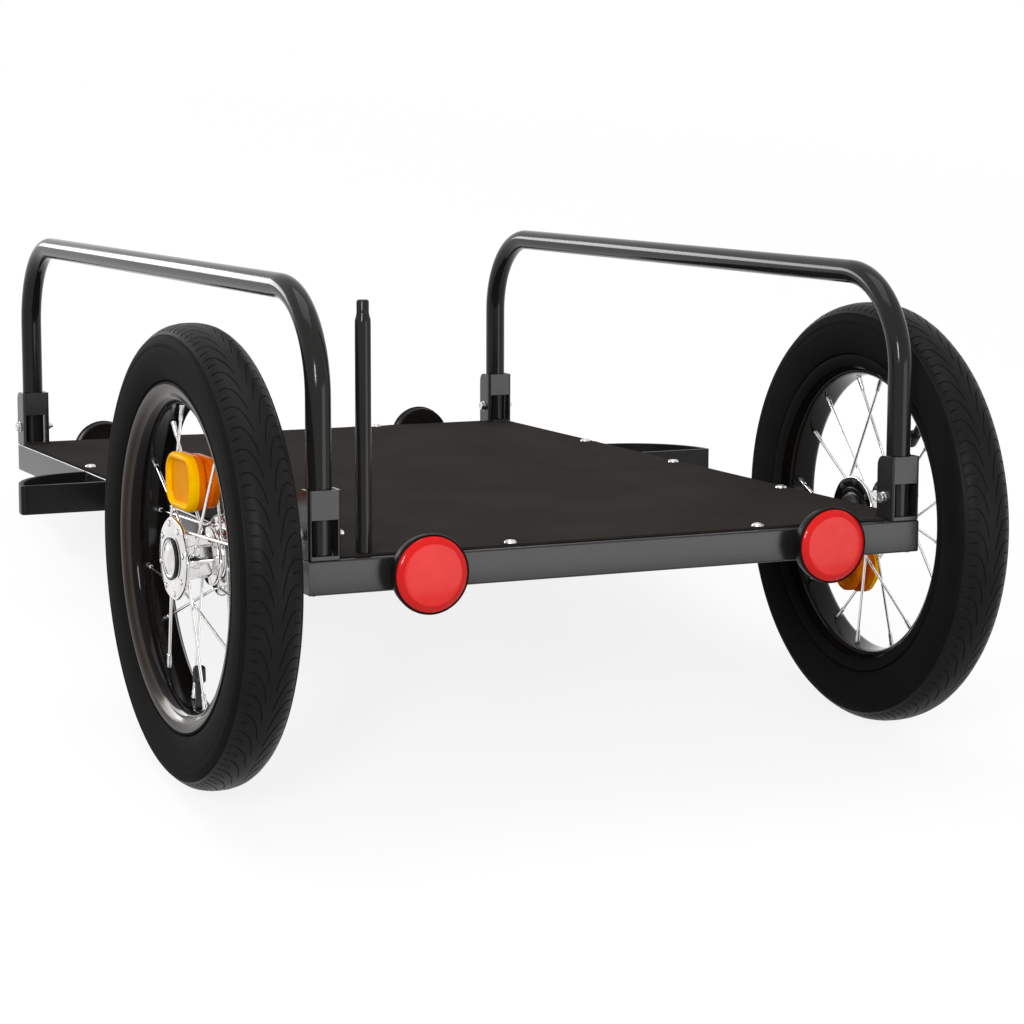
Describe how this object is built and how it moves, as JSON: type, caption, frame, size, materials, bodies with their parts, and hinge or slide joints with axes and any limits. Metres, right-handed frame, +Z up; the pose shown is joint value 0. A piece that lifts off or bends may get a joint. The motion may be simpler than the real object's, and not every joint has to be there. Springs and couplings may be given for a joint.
{
  "type": "bicycle cargo trailer",
  "caption": "Flat-bed trailer towed by a bicycle: cloth deck on a square-tube frame, side hoops, spoked wheels that turn, reflectors and a flag post.",
  "frame": {"origin": "centre of the trailer's plan on the floor it stands on, parked on its two tyres and on the lower front edge of its drawbar socket", "axes": "+X to the trailer's right, +Y forward along the floor, +Z up; the frame slopes down to the front by 11.73 degrees"},
  "size_m": [0.6666, 0.8374, 0.3917],
  "materials": {
    "frame_steel": "satin black powder coat on welded steel tube and plate",
    "gloss_tube": "gloss black lacquer on round tube",
    "deck_cloth": "matt coated woven cloth",
    "reflector_housing": "gloss black moulding",
    "red_lens": "clear gloss red lens",
    "clear_lens": "clear gloss white lens",
    "tyre": "matt black rubber",
    "rim": "gloss dark grey",
    "chrome": "bright plated",
    "black_rubber": "satin black",
    "amber_lens": "clear gloss amber lens"
  },
  "bodies": {
    "chassis": {"crossmember_rear": "frame_steel", "crossmember_front": "frame_steel", "crossmember_axle": "frame_steel", "crossmember_middle": "frame_steel", "crossmember_socket": "frame_steel", "rail_left": "frame_steel", "rail_right": "frame_steel", "bracket_rear_left": "frame_steel", "bracket_rear_right": "frame_steel", "bracket_front_left": "frame_steel", "bracket_front_right": "frame_steel", "wheel_guard_left": "frame_steel", "wheel_guard_right": "frame_steel", "drawbar_socket": "frame_steel", "hoop_left": "gloss_tube", "hoop_right": "gloss_tube", "flag_post": "gloss_tube", "deck": "deck_cloth", "reflector_rear_left_housing": "reflector_housing", "reflector_rear_left_lens": "red_lens", "reflector_rear_right_housing": "reflector_housing", "reflector_rear_right_lens": "red_lens", "reflector_front_left_housing": "reflector_housing", "reflector_front_left_lens": "clear_lens", "reflector_front_right_housing": "reflector_housing", "reflector_front_right_lens": "clear_lens", "axle_left": "chrome", "axle_right": "chrome"},
    "wheel_left": {"tyre_left": "tyre", "rim_left": "rim", "hub_left": "chrome", "dust_cap_outer_left": "black_rubber", "dust_cap_inner_left": "black_rubber", "valve_left": "black_rubber", "spoke_reflector_left": "amber_lens"},
    "wheel_right": {"tyre_right": "tyre", "rim_right": "rim", "hub_right": "chrome", "dust_cap_outer_right": "black_rubber", "dust_cap_inner_right": "black_rubber", "valve_right": "black_rubber", "spoke_reflector_right": "amber_lens"}
  },
  "joints": [
    {"name": "wheel_left_spin", "type": "hinge", "parent": "chassis", "child": "wheel_left", "pos_m": [-0.294, -0.24481, 0.174], "axis": [1, 0, 0], "continuous": true},
    {"name": "wheel_right_spin", "type": "hinge", "parent": "chassis", "child": "wheel_right", "pos_m": [0.294, -0.24481, 0.174], "axis": [1, 0, 0], "continuous": true}
  ]
}
